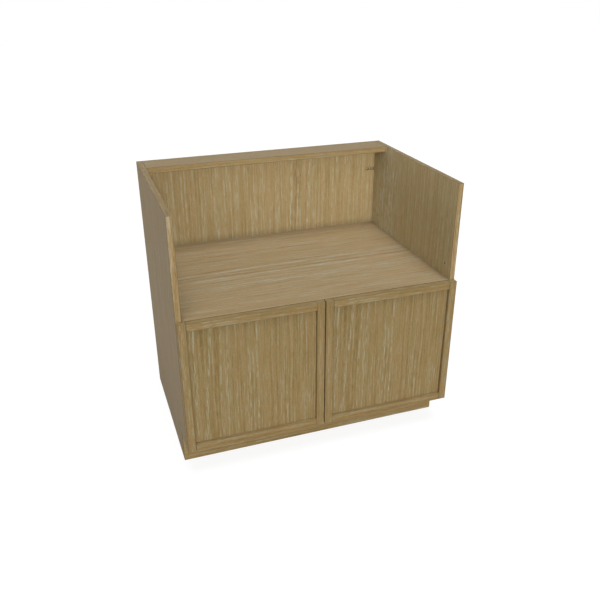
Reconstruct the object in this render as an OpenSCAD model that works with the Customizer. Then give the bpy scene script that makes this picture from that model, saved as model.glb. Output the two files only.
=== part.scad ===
// Sink base cabinet for an apron-front sink, frameless, with two slim-frame doors.
// The origin is on the floor, under the middle of the cabinet's plan. The doors face -Y.

/* [Cabinet] */
// Width over the two sides
cabinet_w = 914.4; // [700:0.1:1200]
// Height from the floor to the top of the sides
cabinet_h = 876.3; // [800:0.1:960]
// Depth of the sides, without the doors
carcass_d = 609.6; // [480:0.1:700]
// Thickness of the sides
side_t = 19.05; // [16:0.05:22]
// Thickness of the floor, deck and rails
board_t = 19.05; // [16:0.05:22]

/* [Back] */
// Thickness of the back panel
back_t = 6.35; // [5:0.05:9]
// Width of the rebate that holds the back panel's edge
rebate_w = 9.5; // [7:0.1:11]
// Gap round the back panel in its rebate
back_play = 0.2; // [0.1:0.05:0.5]

/* [Sink bay] */
// Height of the deck's top above the floor
deck_z = 555.6; // [520:0.1:600]
// Depth of the rail that lies flat at the top of the back
rear_rail_d = 101.6; // [70:0.1:140]
// Height of the rail under the deck's front edge
front_rail_h = 38.1; // [32:0.1:70]
// Height of the cleats under the deck's ends
cleat_h = 38.1; // [28:0.1:60]
// Thickness of the cleats
cleat_t = 19.05; // [15:0.05:22]
// Height of the nailer under the deck's rear edge
nailer_h = 101.6; // [80:0.1:140]

/* [Toe space] */
// Height of the toe space
toe_h = 101.6; // [90:0.1:120]
// Depth of the toe space, from the sides' front edges to the toe board
toe_d = 76.2; // [50:0.1:100]
// Thickness of the toe board
toe_board_t = 19.05; // [12:0.05:22]

/* [Doors] */
// Thickness of a door
door_t = 19.05; // [18.5:0.05:22]
// Width of the door stiles
stile_w = 25.4; // [22:0.1:32]
// Width of the door rails
rail_w = 25.4; // [22:0.1:60]
// Depth of the panel's face behind the frame's face
panel_recess = 9.5; // [6:0.1:9.6]
// Gap between a closed door and the sides' front edges
door_gap = 1.5; // [1.5:0.05:3]
// Distance of a door's outer edge inside the cabinet's outer face
edge_reveal = 1.6; // [1:0.1:3]
// Gap between the two doors
middle_gap = 3.2; // [2:0.1:5]
// Height of the doors' lower edges above the cabinet floor's underside
bottom_reveal = 1.6; // [0:0.1:6]
// Distance of the doors' upper edges below the deck's top
top_reveal = 0; // [0:0.1:4]
// Thickness of the tongue round a door panel
tongue_t = 4.8; // [4:0.1:5.5]
// Length of the tongue
tongue_l = 8; // [5:0.1:9]
// Gap round a tongue in its groove
groove_play = 0.1; // [0.05:0.05:0.3]
// Gap between a door panel's field and its frame
panel_play = 0.2; // [0.1:0.05:0.5]
// Length of each stile's end that the groove leaves whole
groove_stop = 6; // [4:0.5:10]
// Radius of a door bumper
bumper_r = 4; // [3:0.1:5]
// Clearance of a bumper from the cabinet
bumper_clear = 0.4; // [0.3:0.05:1]

/* [Hinges] */
// Distance of the upper hinge's middle below the rail and cleats under the deck
hinge_room = 38; // [32:0.5:60]
// Setback of the mounting screws from the sides' front edges
plate_setback = 37; // [36:0.1:40]
// Distance between the two screws of a mounting plate
plate_screw_pitch = 32; // [30:0.1:36]
// Radius of the cup that is let into the door
cup_r = 17.5; // [15:0.1:18]
// Depth of the cup in the door
cup_depth = 6.5; // [5:0.1:7]
// Distance of the cup from the door's outer edge
cup_edge = 5; // [4:0.1:7]
// Gap round the cup in its recess
cup_fit = 0.1; // [0.05:0.05:0.3]
// Thickness of the flange that lies on the door's back
flange_t = 0.9; // [0.6:0.05:1]
// Length of the link between its pin and its free end
link_l = 50; // [44:0.5:52]
// Thickness of the link
link_t = 2.5; // [2:0.1:3]
// Radius of the link's pin
pin_r = 1.5; // [1.2:0.05:1.8]
// Running clearance of the link on its pin
pin_run = 0.06; // [0.02:0.01:0.1]
// Clearance of the pin in the lugs that hold it
pin_seat = 0.03; // [0.02:0.01:0.05]
// Side clearance of the link between lugs or cheeks
link_side = 0.4; // [0.3:0.05:0.8]

/* [Drillings] */
// Radius of a system hole
system_r = 2.5; // [2.4:0.05:3]
// Depth of a system hole
system_depth = 13; // [8:0.5:13]
// Pitch of the system holes
system_pitch = 32; // [30:0.1:34]
// Height of the lowest system hole above the deck
system_up = 11.2; // [8:0.1:30]
// Setback of the rear system holes from the sides' rear edges
system_rear = 60.6; // [40:0.1:90]
// Radius of the blind drillings near the back panel's top corners
back_hole_r = 5.5; // [4:0.1:5.7]
// Pitch of these drillings
back_hole_pitch = 11.5; // [11.5:0.1:14]
// Depth of these drillings
back_hole_depth = 3; // [2:0.1:4]
// Distance of these drillings below the top of the sides
back_hole_drop = 104.3; // [60:0.1:160]
// Radius of the wall-fixing holes
wall_hole_r = 3; // [2.5:0.1:4]
// Distance between the wall-fixing holes
wall_hole_pitch = 406.4; // [300:0.1:410]

/* [Fasteners] */
// Radius of a dowel
dowel_r = 4; // [3:0.1:4.5]
// Length of a dowel
dowel_l = 30; // [26:1:36]
// Length of a dowel inside the side
dowel_in = 12; // [10:0.5:13]
// Gap round a dowel and past its ends, for glue
dowel_glue = 0.1; // [0.05:0.05:0.3]
// Radius of a wood screw's shank
screw_r = 1.75; // [1.5:0.05:2.25]
// Radius of a wood screw's countersunk head
screw_head_r = 3.6; // [3:0.1:4]
// Length of a back panel screw
back_screw_l = 22; // [18:0.5:30]
// Greatest distance between back panel screws
back_screw_pitch = 190; // [120:1:300]
// Depth of a cleat screw in the side or the deck
cleat_screw_in = 12.5; // [9:0.5:13]
// Length of a cup screw in the door
cup_screw_l = 7; // [5:0.1:7.5]
// Length of a mounting screw in the side
plate_screw_l = 11; // [8:0.5:12]
// Gap round a screw in its hole
screw_fit = 0.05; // [0.05:0.05:0.1]

/* [Hidden] */
$fn = 48;
eps = 1;
oak = [0.64, 0.53, 0.36];
oak_dark = [0.55, 0.45, 0.31];
beech = [0.80, 0.66, 0.48];
nickel = [0.74, 0.74, 0.72];
zinc = [0.62, 0.63, 0.64];
soft_clear = [0.85, 0.85, 0.83];

// Places of the carcass, from the left side's outer face, the sides' front edges and the floor
carcass_y = -(carcass_d + door_gap + door_t) / 2 + door_gap + door_t;
inner_x = side_t;
inner_w = cabinet_w - 2 * side_t;
inner_d = carcass_d - back_t;
floor_top = toe_h + board_t;
deck_low = deck_z - board_t;
toe_back = toe_d + toe_board_t;
back_low = toe_h;
back_high = cabinet_h - board_t + rebate_w;
nailer_y = inner_d - board_t;

// Places of the doors
door_back = -door_gap;
door_front = -door_gap - door_t;
door_x0 = edge_reveal;
door_w = cabinet_w / 2 - edge_reveal - middle_gap / 2;
door_z0 = toe_h + bottom_reveal;
door_z1 = deck_z - top_reveal;
door_h = door_z1 - door_z0;
panel_t = door_t - panel_recess;
tongue_y = door_back - panel_t / 2;
groove_l = tongue_l + groove_play;
bumper_t = door_gap - bumper_clear;

// Places of the hinges
hinge_off = door_z1 - deck_low + max(front_rail_h, cleat_h) + hinge_room;
hinge_zs = [door_z0 + hinge_off, door_z1 - hinge_off];
cup_x = door_x0 + cup_edge + cup_r;
plate_t = 2.4;
plate_lobe_r = 8;
web_t = 1.5;
web_clear = 2.25;
cheek_t = 1.5;
cheek_h = 12.5;
cheek_clear = 1.4;
link_half = 6.8;
arm_y0 = 6;
arm_l = 56;
arm_x = side_t + plate_t;
link_x = arm_x + web_t + web_clear + link_t / 2;
link_y = 1.5;
eye_wall = 1.5;
eye_r = pin_r + eye_wall;
link_end_r = 2.5;
lug_t = 2;
lug_wall = 2.1;
lug_r = pin_r + lug_wall;
lug_in = link_half + link_side;
lug_out = lug_in + lug_t;
cup_wall = 0.8;
cup_slot_half = 11;
flange_lip = 1;
ear_off = 9.5;
ear_half = 24;
ear_r = 5.5;
plate_screw_r = system_r - 0.1;
plate_head_r = 4;
plate_head_t = 1.6;
cup_head_r = 3;
cup_head_t = 1.4;
arm_screw_r = 2.2;
arm_screw_t = 1;

// Dowels: how far they stand from a board's ends or edges, and the places of each board's row
dowel_edge = 50;
dowel_half = 25;
rail_dowel_edge = 20;
floor_ys = [dowel_edge, inner_d / 2, inner_d - dowel_edge];
board_mid = board_t / 2;
floor_dowels = [for (y = floor_ys) [y, toe_h + board_mid]];
deck_dowels = [for (y = floor_ys) [y, deck_low + board_mid]];
rear_rail_dowels = [for (y = [carcass_d - rear_rail_d + rail_dowel_edge, inner_d - rail_dowel_edge])
    [y, cabinet_h - board_mid]];
front_rail_dowels = [for (s = [-1, 1]) [board_mid, deck_low - front_rail_h / 2 + s * front_rail_h / 4]];
nailer_dowels = [for (s = [-1, 1]) [nailer_y + board_mid, deck_low - nailer_h / 2 + s * dowel_half]];
backer_dowels = [for (s = [-1, 1]) [toe_back + board_mid, toe_h / 2 + s * dowel_half]];
sleeper_dowels = [for (s = [-1, 1]) [nailer_y + board_mid, toe_h / 2 + s * dowel_half]];
all_dowels = concat(floor_dowels, deck_dowels, rear_rail_dowels, front_rail_dowels,
                    nailer_dowels, backer_dowels, sleeper_dowels);

// Back panel screws: a row up each rebate and a row along the rail, the deck and the floor
back_inset = side_t - rebate_w;
back_screw_x0 = side_t - rebate_w / 2;
back_span = cabinet_w - 2 * back_screw_x0;
across_n = ceil(back_span / back_screw_pitch);
across_xs = [for (i = [1 : across_n - 1]) back_screw_x0 + back_span * i / across_n];
up_z0 = back_low + dowel_edge;
up_z1 = back_high - dowel_edge;
up_n = ceil((up_z1 - up_z0) / back_screw_pitch);
up_zs = [for (i = [0 : up_n]) up_z0 + (up_z1 - up_z0) * i / up_n];
back_screws_at = concat(
    [for (x = [back_screw_x0, cabinet_w - back_screw_x0], z = up_zs) [x, z]],
    [for (x = across_xs) [x, cabinet_h - board_t + rebate_w / 2]],
    [for (x = across_xs, z = [deck_low + board_mid, toe_h + board_mid]) [x, z]]);
screw_head_l = screw_head_r - screw_r;

// Cleat screws: up through each cleat into the deck, and sideways into the side
cleat_y0 = board_t;
cleat_l = nailer_y - cleat_y0;
cleat_up_ys = [for (k = [0.2, 0.4, 0.6, 0.8]) cleat_y0 + cleat_l * k];
cleat_side_ys = [for (k = [0.1, 0.3, 0.7, 0.9]) cleat_y0 + cleat_l * k];
cleat_up_x = side_t + cleat_t / 2;
cleat_low = deck_low - cleat_h;
cleat_side_z = deck_low - cleat_h / 2;

// Moves a piece from the carcass's front left corner to the cabinet's own origin.
module placed() {
    translate([-cabinet_w / 2, carcass_y, 0]) children();
}

// Keeps a left-hand piece where it is, or mirrors it to the right-hand side.
module on_hand(right) {
    if (right) translate([cabinet_w, 0, 0]) mirror([1, 0, 0]) children();
    else children();
}

// A box from its lowest corner to its highest.
module box(low, high) {
    translate(low) cube(high - low);
}

// A round bar along X, Y or Z from a point, as a bore when it is subtracted.
module bar_x(at, r, l) {
    translate(at) rotate([0, 90, 0]) cylinder(r = r, h = l);
}

module bar_y(at, r, l) {
    translate(at) rotate([-90, 0, 0]) cylinder(r = r, h = l);
}

module bar_z(at, r, l) {
    translate(at) cylinder(r = r, h = l);
}

// A countersunk screw with its head's top at the origin and its point along -Z.
module csk_screw(l, grow = 0) {
    translate([0, 0, -l - grow]) cylinder(r = screw_r + grow, h = l + grow);
    translate([0, 0, -screw_head_l - grow])
        cylinder(r1 = screw_r, r2 = screw_head_r + grow, h = screw_head_l + grow);
}

// The bores for a row of dowels in a side's inner face.
module side_dowel_bores() {
    deep = dowel_in + dowel_glue;
    for (p = all_dowels) bar_x([side_t - deep, p[0], p[1]], dowel_r + dowel_glue, deep + eps);
}

// The bores for a row of dowels in both ends of a cross board.
module end_dowel_bores(points) {
    out = dowel_l - dowel_in + dowel_glue;
    for (p = points, x = [inner_x - eps, inner_x + inner_w - out])
        bar_x([x, p[0], p[1]], dowel_r + dowel_glue, out + eps);
}

// The screws of the back panel, all along Y with their heads flush with its back.
module back_screw_set(grow = 0) {
    for (p = back_screws_at)
        translate([p[0], carcass_d, p[1]]) rotate([-90, 0, 0]) csk_screw(back_screw_l, grow);
}

module wall_holes() {
    for (s = [-1, 1])
        bar_y([cabinet_w / 2 + s * wall_hole_pitch / 2, nailer_y - eps, deck_low - nailer_h / 2],
              wall_hole_r, board_t + back_t + 2 * eps);
}

// The screws of a cleat: up into the deck, and sideways into the side.
module cleat_screw_set(grow = 0) {
    for (y = cleat_up_ys)
        translate([cleat_up_x, y, cleat_low]) rotate([180, 0, 0]) csk_screw(cleat_h + cleat_screw_in, grow);
    for (y = cleat_side_ys)
        translate([side_t + cleat_t, y, cleat_side_z]) rotate([0, 90, 0])
            csk_screw(cleat_t + cleat_screw_in, grow);
}

// The two bores of each mounting plate, in the side's inner face.
module plate_screw_shanks(r, l, from) {
    for (z = hinge_zs, s = [-1, 1])
        bar_x([from, plate_setback, z + s * plate_screw_pitch / 2], r, l);
}

module system_holes() {
    low = deck_z + system_up;
    high = low + system_pitch;
    rear_y = carcass_d - system_rear;
    for (p = [[plate_setback, high], [rear_y, low], [rear_y, high]])
        bar_x([side_t - system_depth, p[0], p[1]], system_r, system_depth + eps);
}

// Carcass

module side(right) {
    color(oak) placed() on_hand(right) difference() {
        box([0, 0, 0], [side_t, carcass_d, cabinet_h]);
        box([-eps, -eps, -eps], [side_t + eps, toe_back, toe_h]);
        box([back_inset, inner_d, back_low], [side_t + eps, carcass_d + eps, back_high]);
        side_dowel_bores();
        plate_screw_shanks(system_r, plate_screw_l + 2 * eps, side_t - plate_screw_l - eps);
        system_holes();
        back_screw_set(screw_fit);
        cleat_screw_set(screw_fit);
    }
}

module cabinet_floor() {
    color(oak) placed() difference() {
        box([inner_x, 0, toe_h], [inner_x + inner_w, inner_d, floor_top]);
        end_dowel_bores(floor_dowels);
        back_screw_set(screw_fit);
    }
}

module sink_deck() {
    color(oak) placed() difference() {
        box([inner_x, 0, deck_low], [inner_x + inner_w, inner_d, deck_z]);
        end_dowel_bores(deck_dowels);
        back_screw_set(screw_fit);
        for (right = [false, true]) on_hand(right) cleat_screw_set(screw_fit);
    }
}

module back_panel() {
    color(oak) placed() difference() {
        box([back_inset + back_play, inner_d, back_low + back_play],
            [cabinet_w - back_inset - back_play, carcass_d, back_high - back_play]);
        for (right = [false, true], i = [0 : 2]) on_hand(right)
            bar_y([side_t + back_hole_pitch * (i + 0.5), inner_d - eps, cabinet_h - back_hole_drop],
                  back_hole_r, back_hole_depth + eps);
        back_screw_set(screw_fit);
        wall_holes();
    }
}

module top_rear_rail() {
    low = cabinet_h - board_t;
    x1 = inner_x + inner_w;
    color(oak) placed() difference() {
        box([inner_x, carcass_d - rear_rail_d, low], [x1, carcass_d, cabinet_h]);
        box([inner_x - eps, inner_d, low - eps], [x1 + eps, carcass_d + eps, back_high]);
        end_dowel_bores(rear_rail_dowels);
        back_screw_set(screw_fit);
    }
}

module front_deck_rail() {
    color(oak) placed() difference() {
        box([inner_x, 0, deck_low - front_rail_h], [inner_x + inner_w, board_t, deck_low]);
        end_dowel_bores(front_rail_dowels);
    }
}

module back_nailer() {
    color(oak) placed() difference() {
        box([inner_x, nailer_y, deck_low - nailer_h], [inner_x + inner_w, inner_d, deck_low]);
        end_dowel_bores(nailer_dowels);
        wall_holes();
    }
}

module deck_cleat(right) {
    color(oak) placed() on_hand(right) difference() {
        box([side_t, cleat_y0, cleat_low], [side_t + cleat_t, nailer_y, deck_low]);
        cleat_screw_set(screw_fit);
    }
}

module toe_board() {
    color(oak) placed() box([0, toe_d, 0], [cabinet_w, toe_back, toe_h]);
}

module toe_backer() {
    color(oak) placed() difference() {
        box([inner_x, toe_back, 0], [inner_x + inner_w, toe_back + board_t, toe_h]);
        end_dowel_bores(backer_dowels);
    }
}

module rear_sleeper() {
    color(oak) placed() difference() {
        box([inner_x, nailer_y, 0], [inner_x + inner_w, inner_d, toe_h]);
        end_dowel_bores(sleeper_dowels);
    }
}

module dowels() {
    color(beech) placed() for (right = [false, true]) on_hand(right)
        for (p = all_dowels) bar_x([side_t - dowel_in, p[0], p[1]], dowel_r, dowel_l);
}

module back_screws() {
    color(zinc) placed() back_screw_set();
}

module cleat_screws() {
    color(zinc) placed() for (right = [false, true]) on_hand(right) cleat_screw_set();
}

// Doors, drawn as the left one

// The recess for each hinge cup and the pilot holes of its screws.
module cup_recesses() {
    for (z = hinge_zs) {
        bar_y([cup_x, door_back - cup_depth - cup_fit, z], cup_r + cup_fit, cup_depth + cup_fit + eps);
        for (s = [-1, 1])
            bar_y([cup_x + ear_off, door_back - cup_screw_l - screw_fit, z + s * ear_half],
                  screw_r + screw_fit, cup_screw_l + screw_fit + eps);
    }
}

// The groove along one inner edge of a stile.
module stile_groove(x0, x1) {
    box([x0, tongue_y - tongue_t / 2 - groove_play, door_z0 + groove_stop],
        [x1, tongue_y + tongue_t / 2 + groove_play, door_z1 - groove_stop]);
}

module hinge_stile(right) {
    edge = door_x0 + stile_w;
    color(oak) placed() on_hand(right) difference() {
        box([door_x0, door_front, door_z0], [edge, door_back, door_z1]);
        stile_groove(edge - groove_l, edge + eps);
        cup_recesses();
    }
}

module lock_stile(right) {
    edge = door_x0 + door_w - stile_w;
    color(oak) placed() on_hand(right) difference() {
        box([edge, door_front, door_z0], [edge + stile_w, door_back, door_z1]);
        stile_groove(edge - eps, edge + groove_l);
    }
}

// A rail from z0 to z1 with a stub tenon at each end and a groove for the panel along one edge.
module door_rail(right, z0, z1, groove_z0, groove_z1) {
    x0 = door_x0 + stile_w;
    x1 = door_x0 + door_w - stile_w;
    tenon_z0 = max(z0, door_z0 + groove_stop + groove_play);
    tenon_z1 = min(z1, door_z1 - groove_stop - groove_play);
    color(oak) placed() on_hand(right) difference() {
        union() {
            box([x0, door_front, z0], [x1, door_back, z1]);
            box([x0 - tongue_l, tongue_y - tongue_t / 2, tenon_z0],
                [x1 + tongue_l, tongue_y + tongue_t / 2, tenon_z1]);
        }
        box([x0 - tongue_l - eps, tongue_y - tongue_t / 2 - groove_play, groove_z0],
            [x1 + tongue_l + eps, tongue_y + tongue_t / 2 + groove_play, groove_z1]);
    }
}

module top_rail(right) {
    door_rail(right, door_z1 - rail_w, door_z1, door_z1 - rail_w - eps, door_z1 - rail_w + groove_l);
}

module bottom_rail(right) {
    door_rail(right, door_z0, door_z0 + rail_w, door_z0 + rail_w - groove_l, door_z0 + rail_w + eps);
}

module door_panel(right) {
    x0 = door_x0 + stile_w;
    x1 = door_x0 + door_w - stile_w;
    z0 = door_z0 + rail_w;
    z1 = door_z1 - rail_w;
    color(oak) placed() on_hand(right) difference() {
        union() {
            box([x0 + panel_play, door_front + panel_recess, z0 + panel_play],
                [x1 - panel_play, door_back, z1 - panel_play]);
            box([x0 - tongue_l, tongue_y - tongue_t / 2, z0 - tongue_l],
                [x1 + tongue_l, tongue_y + tongue_t / 2, z1 + tongue_l]);
        }
        cup_recesses();
    }
}

module bumpers(right) {
    x = door_x0 + door_w - stile_w / 2;
    color(soft_clear) placed() on_hand(right)
        for (z = [toe_h + board_mid, deck_z - board_mid]) bar_y([x, door_back, z], bumper_r, bumper_t);
}

// Hinges, drawn on the left side

module hinge_plates(right) {
    screw_z = plate_screw_pitch / 2;
    wing = 2 * plate_lobe_r;
    color(nickel) placed() on_hand(right) difference() {
        for (z = hinge_zs) {
            box([side_t, plate_setback - plate_lobe_r, z - screw_z],
                [arm_x, plate_setback + plate_lobe_r, z + screw_z]);
            for (s = [-1, 1]) bar_x([side_t, plate_setback, z + s * screw_z], plate_lobe_r, plate_t);
            box([side_t, plate_setback - wing, z - link_half], [arm_x, plate_setback + wing, z + link_half]);
        }
        plate_screw_shanks(plate_screw_r + screw_fit, plate_t + 2 * eps, side_t - eps);
    }
}

module hinge_arms(right) {
    round_r = cheek_h / 2;
    cheek_in = link_half + cheek_clear;
    cheek_out = cheek_in + cheek_t;
    y1 = arm_y0 + arm_l;
    color(nickel) placed() on_hand(right) for (z = hinge_zs) {
        box([arm_x, arm_y0, z - cheek_out], [arm_x + web_t, y1, z + cheek_out]);
        for (low = [z - cheek_out, z + cheek_in]) {
            box([arm_x, arm_y0 + round_r, low], [arm_x + cheek_h, y1, low + cheek_t]);
            box([arm_x, arm_y0, low], [arm_x + round_r, arm_y0 + round_r, low + cheek_t]);
            bar_z([arm_x + round_r, arm_y0 + round_r, low], round_r, cheek_t);
        }
        bar_x([arm_x + web_t, plate_setback, z], arm_screw_r, arm_screw_t);
    }
}

module hinge_links(right) {
    tip_y = link_y + link_l;
    color(nickel) placed() on_hand(right) for (z = hinge_zs) difference() {
        union() {
            bar_z([link_x, link_y, z - link_half], eye_r, 2 * link_half);
            box([link_x - link_t / 2, link_y, z - link_half], [link_x + link_t / 2, tip_y, z + link_half]);
            bar_z([link_x, tip_y, z - link_half], link_end_r, 2 * link_half);
        }
        bar_z([link_x, link_y, z - link_half - eps], pin_r + pin_run, 2 * (link_half + eps));
    }
}

module hinge_cups(right) {
    ear_x = cup_x + ear_off;
    flange_y = door_back + flange_t;
    color(nickel) placed() on_hand(right) for (z = hinge_zs) difference() {
        union() {
            bar_y([cup_x, door_back - cup_depth, z], cup_r, cup_depth + flange_t);
            bar_y([cup_x, door_back, z], cup_r + flange_lip, flange_t);
            box([ear_x - ear_r, door_back, z - ear_half], [ear_x + ear_r, flange_y, z + ear_half]);
            for (s = [-1, 1]) bar_y([ear_x, door_back, z + s * ear_half], ear_r, flange_t);
            for (low = [z - lug_out, z + lug_in]) {
                bar_z([link_x, link_y, low], lug_r, lug_t);
                box([link_x - lug_r, door_back, low], [link_x + lug_r, link_y, low + lug_t]);
            }
        }
        box([cup_x - cup_slot_half, door_back - cup_depth + cup_wall, z - lug_in],
            [cup_x + cup_slot_half, flange_y + eps, z + lug_in]);
        bar_z([link_x, link_y, z - lug_out - eps], pin_r + pin_seat, 2 * (lug_out + eps));
        for (s = [-1, 1])
            bar_y([ear_x, door_back - eps, z + s * ear_half], screw_r + screw_fit, flange_t + 2 * eps);
    }
}

module hinge_pins(right) {
    color(zinc) placed() on_hand(right) for (z = hinge_zs)
        bar_z([link_x, link_y, z - lug_out], pin_r, 2 * lug_out);
}

module plate_screws(right) {
    color(zinc) placed() on_hand(right) {
        plate_screw_shanks(plate_screw_r, plate_screw_l + plate_t, side_t - plate_screw_l);
        plate_screw_shanks(plate_head_r, plate_head_t, arm_x);
    }
}

module cup_screws(right) {
    color(zinc) placed() on_hand(right) for (z = hinge_zs, s = [-1, 1])
        translate([cup_x + ear_off, door_back, z + s * ear_half]) {
            bar_y([0, -cup_screw_l, 0], screw_r, cup_screw_l + flange_t);
            bar_y([0, flange_t, 0], cup_head_r, cup_head_t);
        }
}

side(false);  // left_side
side(true);  // right_side
cabinet_floor();
sink_deck();
back_panel();
top_rear_rail();
front_deck_rail();
back_nailer();
deck_cleat(false);  // left_deck_cleat
deck_cleat(true);  // right_deck_cleat
toe_board();
toe_backer();
rear_sleeper();
dowels();
back_screws();
cleat_screws();
hinge_stile(false);  // left_door_hinge_stile
lock_stile(false);  // left_door_lock_stile
top_rail(false);  // left_door_top_rail
bottom_rail(false);  // left_door_bottom_rail
door_panel(false);  // left_door_panel
bumpers(false);  // left_door_bumpers
hinge_stile(true);  // right_door_hinge_stile
lock_stile(true);  // right_door_lock_stile
top_rail(true);  // right_door_top_rail
bottom_rail(true);  // right_door_bottom_rail
door_panel(true);  // right_door_panel
bumpers(true);  // right_door_bumpers
hinge_plates(false);  // left_hinge_plates
hinge_arms(false);  // left_hinge_arms
hinge_links(false);  // left_hinge_links
hinge_cups(false);  // left_hinge_cups
hinge_pins(false);  // left_hinge_pins
plate_screws(false);  // left_plate_screws
cup_screws(false);  // left_cup_screws
hinge_plates(true);  // right_hinge_plates
hinge_arms(true);  // right_hinge_arms
hinge_links(true);  // right_hinge_links
hinge_cups(true);  // right_hinge_cups
hinge_pins(true);  // right_hinge_pins
plate_screws(true);  // right_plate_screws
cup_screws(true);  // right_cup_screws
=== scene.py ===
"""Dresses the sink base cabinet: limed oak boards with eased edges, framed doors and concealed hinges."""

import math

import bmesh
import bpy
from mathutils import Euler, Matrix, Vector


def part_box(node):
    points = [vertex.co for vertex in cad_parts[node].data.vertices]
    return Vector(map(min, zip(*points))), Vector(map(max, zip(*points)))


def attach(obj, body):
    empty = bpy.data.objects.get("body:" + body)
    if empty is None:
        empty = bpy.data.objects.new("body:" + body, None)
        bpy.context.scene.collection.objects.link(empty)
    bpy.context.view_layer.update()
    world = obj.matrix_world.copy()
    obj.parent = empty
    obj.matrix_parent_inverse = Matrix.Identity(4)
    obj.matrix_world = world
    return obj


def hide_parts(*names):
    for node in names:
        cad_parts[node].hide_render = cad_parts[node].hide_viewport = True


bl_info = {
    "name": "Sink base cabinet",
    "version": (1, 0, 0),
    "blender": (4, 5, 0),
    "location": "3D View > Sidebar > Cabinet",
    "description": "Limed oak sink base cabinet with two framed doors on concealed hinges",
    "category": "Object",
}

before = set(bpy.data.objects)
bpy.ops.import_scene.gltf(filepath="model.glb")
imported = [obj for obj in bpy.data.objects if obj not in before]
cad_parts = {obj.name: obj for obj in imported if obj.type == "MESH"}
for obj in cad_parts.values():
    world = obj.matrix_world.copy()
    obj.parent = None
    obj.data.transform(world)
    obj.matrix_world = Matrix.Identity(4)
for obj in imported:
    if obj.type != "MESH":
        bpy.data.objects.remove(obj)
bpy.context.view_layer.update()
MM = 0.001


def linear(code):
    """A colour written as sRGB hex, turned to the linear values that Blender works in."""
    parts = [int(code[i : i + 2], 16) / 255 for i in (0, 2, 4)]
    return tuple(p / 12.92 if p <= 0.04045 else ((p + 0.055) / 1.055) ** 2.4 for p in parts)


# Sizes and colours.


class CabinetSizes(bpy.types.PropertyGroup):
    """Sizes that the CAD model leaves to the finish."""

    board_arris: bpy.props.FloatProperty(
        name="Board arris",
        description="Width of the sanded chamfer along a board's edges",
        default=0.9 * MM,
        min=0.1 * MM,
        max=2 * MM,
        unit="LENGTH",
    )
    steel_arris: bpy.props.FloatProperty(
        name="Steel arris",
        description="Width of the rounded edge of a pressed hinge part",
        default=0.22 * MM,
        min=0.05 * MM,
        max=0.5 * MM,
        unit="LENGTH",
    )
    ring_width: bpy.props.FloatProperty(
        name="Growth ring width",
        description="Typical width of one pale or brown streak across the grain",
        default=6.4 * MM,
        min=2 * MM,
        max=30 * MM,
        unit="LENGTH",
    )
    pore_width: bpy.props.FloatProperty(
        name="Pore width",
        description="Width of a limed pore across the grain",
        default=0.7 * MM,
        min=0.2 * MM,
        max=2 * MM,
        unit="LENGTH",
    )


class CabinetColours(bpy.types.PropertyGroup):
    """Colours of the oak, its lime and its stained edges."""

    oak: bpy.props.FloatVectorProperty(
        name="Oak",
        description="The oak between its streaks",
        default=linear("90794D"),
        size=3,
        subtype="COLOR",
        min=0,
        max=1,
    )
    brown: bpy.props.FloatVectorProperty(
        name="Latewood",
        description="The dense brown lines of the grain",
        default=linear("7A633C"),
        size=3,
        subtype="COLOR",
        min=0,
        max=1,
    )
    lime: bpy.props.FloatVectorProperty(
        name="Lime",
        description="The pale lime left in the open grain",
        default=linear("A6A387"),
        size=3,
        subtype="COLOR",
        min=0,
        max=1,
    )
    heart: bpy.props.FloatVectorProperty(
        name="Heartwood",
        description="The pinkish tan of the wood nearer the heart",
        default=linear("9C7A50"),
        size=3,
        subtype="COLOR",
        min=0,
        max=1,
    )
    # Besides the arris, this colour inks the painted shade in the oak's corners and the dark joint lines.
    arris: bpy.props.FloatVectorProperty(
        name="Arris",
        description="The darker stain line along every edge",
        default=linear("56482D"),
        size=3,
        subtype="COLOR",
        min=0,
        max=1,
    )


def sizes():
    """The sizes that the sidebar shows."""
    return bpy.context.scene.cabinet_sizes


def colours():
    """The colours that the sidebar shows."""
    return bpy.context.scene.cabinet_colours


# Nodes.


def put(tree, kind, links=None, **settings):
    """Adds one node with its settings. links gives each input a value or another node's output."""
    new = tree.nodes.new(kind)
    for key, value in settings.items():
        setattr(new, key, value)
    for key, value in (links or {}).items():
        if isinstance(value, bpy.types.NodeSocket):
            tree.links.new(value, new.inputs[key])
        else:
            new.inputs[key].default_value = value
    return new


def calc(tree, operation, *values, **settings):
    """The result of one step of arithmetic on numbers or other nodes' outputs."""
    return put(tree, "ShaderNodeMath", dict(enumerate(values)), operation=operation, **settings).outputs[0]


def vector(tree, operation, *values):
    """The node of one step of arithmetic on vectors."""
    return put(tree, "ShaderNodeVectorMath", dict(enumerate(values)), operation=operation)


def noise(tree, at, scale, detail, roughness=0.5):
    """The node of a noise over the coordinates at."""
    links = {"Vector": at, "Scale": scale, "Detail": detail, "Roughness": roughness}
    return put(tree, "ShaderNodeTexNoise", links)


def ramp(tree, value, low, high, least, most, **settings):
    """Turns a value that runs from low to high into one that runs from least to most."""
    limits = {"Value": value, "From Min": low, "From Max": high, "To Min": least, "To Max": most}
    return put(tree, "ShaderNodeMapRange", limits, **settings).outputs[0]


def fade(tree, value, at, end, strength, full=0.0):
    """As strong as strength where a value is within full of at, and smoothly gone where it is end away."""
    away = calc(tree, "ABSOLUTE", calc(tree, "SUBTRACT", value, at))
    return ramp(tree, away, full, end, strength, 0.0, interpolation_type="SMOOTHSTEP")


def blend(tree, share, under, over):
    """The colour under, covered by that share of the colour over."""
    return put(tree, "ShaderNodeMix", {0: share, 6: under, 7: over}, data_type="RGBA").outputs[2]


def rgba(colour, gain=1.0):
    """A colour for a socket, brightened by one number or by one for each channel."""
    gains = (gain, gain, gain) if isinstance(gain, float) else gain
    return (*(min(1.0, c * g) for c, g in zip(colour, gains)), 1.0)


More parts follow.
